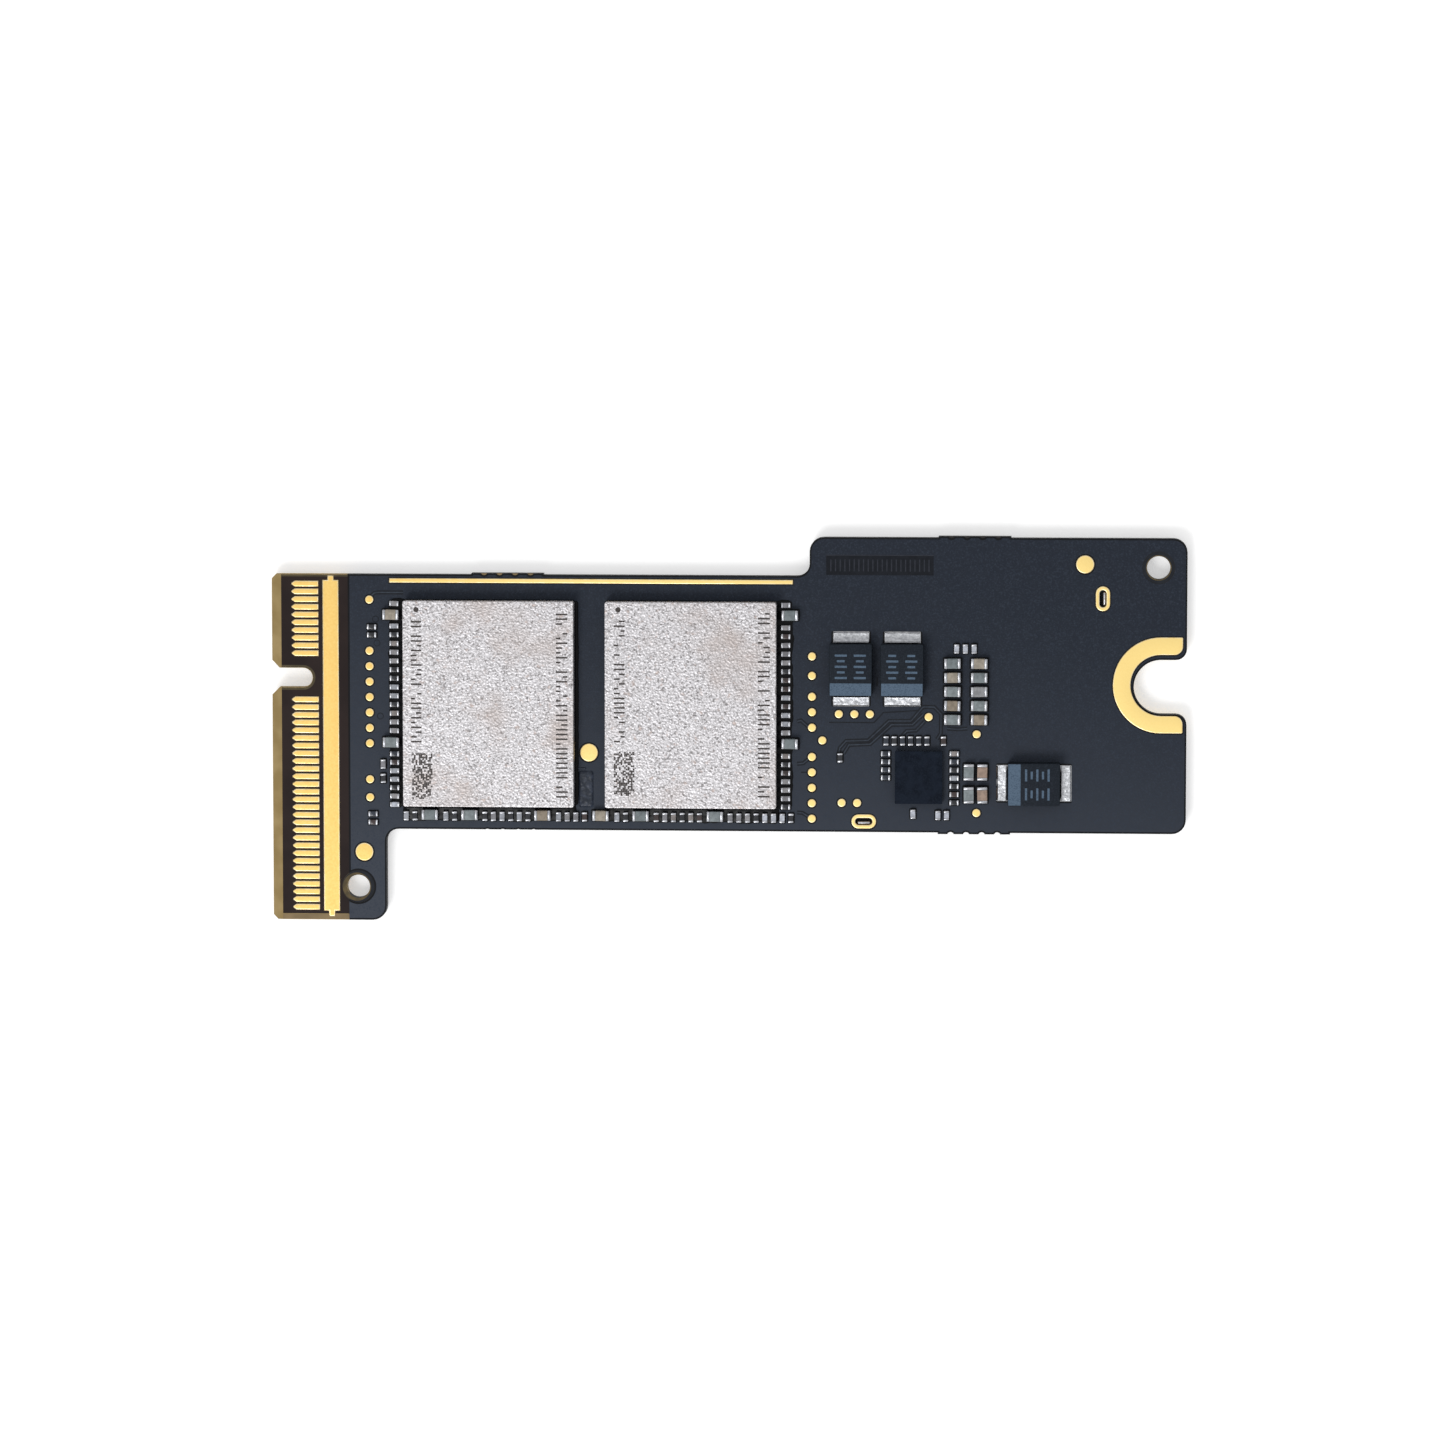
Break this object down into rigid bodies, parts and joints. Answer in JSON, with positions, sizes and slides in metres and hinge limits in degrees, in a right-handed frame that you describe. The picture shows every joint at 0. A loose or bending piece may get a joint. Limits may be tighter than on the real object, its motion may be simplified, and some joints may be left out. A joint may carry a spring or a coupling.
{
  "type": "solid state drive",
  "caption": "Bare solid state drive module: stepped board with a keyed card edge, shielded flash packages, a power section and a forked screw hold-down.",
  "frame": {"origin": "centre of the part's box in plan, at the foot of the capacitors on the back", "axes": "+X from the card edge towards the hold-down end, +Y towards the side that the wide part steps out to, +Z out of the component side"},
  "size_m": [0.059, 0.025, 0.0026],
  "materials": {
    "laminate": "cut glass-epoxy laminate, olive tan, matt",
    "copper_plane": "oxidised copper seen through resin, dark brown",
    "solder_mask": "blue-black solder mask, satin",
    "gold_plating": "electroless nickel immersion gold, satin",
    "solder": "reflowed solder, bright",
    "substrate": "package laminate, dark green",
    "silicon": "silicon dies, grey",
    "mould": "black moulding compound",
    "shield": "sputtered metal shield, sandy satin",
    "underfill": "black epoxy, glossy",
    "chip_coating": "blue-black backside film, matt",
    "inductor_core": "pressed alloy powder, dark slate, matt",
    "winding": "enamelled copper, coppery",
    "tinned_terminal": "matt tin plating",
    "ceramic_grey": "fired ceramic, grey green, satin",
    "ceramic_tan": "fired ceramic, tan, satin",
    "resistor_body": "overcoat on alumina, near black, glossy"
  },
  "bodies": {
    "root": {"laminate_lower": "laminate", "laminate_upper": "laminate", "inner_copper_plane": "copper_plane", "solder_mask_top": "solder_mask", "solder_mask_bottom": "solder_mask", "edge_contacts_top": "gold_plating", "edge_contacts_bottom": "gold_plating", "ground_bar_top": "gold_plating", "ground_bar_bottom": "gold_plating", "shield_strip": "gold_plating", "hold_down_ring_top": "gold_plating", "hold_down_ring_bottom": "gold_plating", "test_pads_top": "gold_plating", "test_pads_bottom": "gold_plating", "fiducials": "gold_plating", "plated_slots": "gold_plating", "flash_a_solder_balls": "solder", "flash_a_substrate": "substrate", "flash_a_die_stack": "silicon", "flash_a_mould": "mould", "flash_a_shield": "shield", "flash_a_underfill": "underfill", "flash_b_solder_balls": "solder", "flash_b_substrate": "substrate", "flash_b_die_stack": "silicon", "flash_b_mould": "mould", "flash_b_shield": "shield", "flash_b_underfill": "underfill", "power_chip_solder_balls": "solder", "power_chip_die": "silicon", "power_chip_coating": "chip_coating", "inductor_1_core": "inductor_core", "inductor_1_coil": "winding", "inductor_1_terminals": "tinned_terminal", "inductor_2_core": "inductor_core", "inductor_2_coil": "winding", "inductor_2_terminals": "tinned_terminal", "inductor_3_core": "inductor_core", "inductor_3_coil": "winding", "inductor_3_terminals": "tinned_terminal", "large_capacitors_grey": "ceramic_grey", "back_capacitors": "ceramic_grey", "large_capacitors_tan": "ceramic_tan", "small_capacitors": "ceramic_tan", "large_capacitor_terminals": "tinned_terminal", "small_capacitor_terminals": "tinned_terminal", "resistor_terminals": "tinned_terminal", "back_capacitor_terminals": "tinned_terminal", "resistors": "resistor_body"}
  },
  "joints": []
}
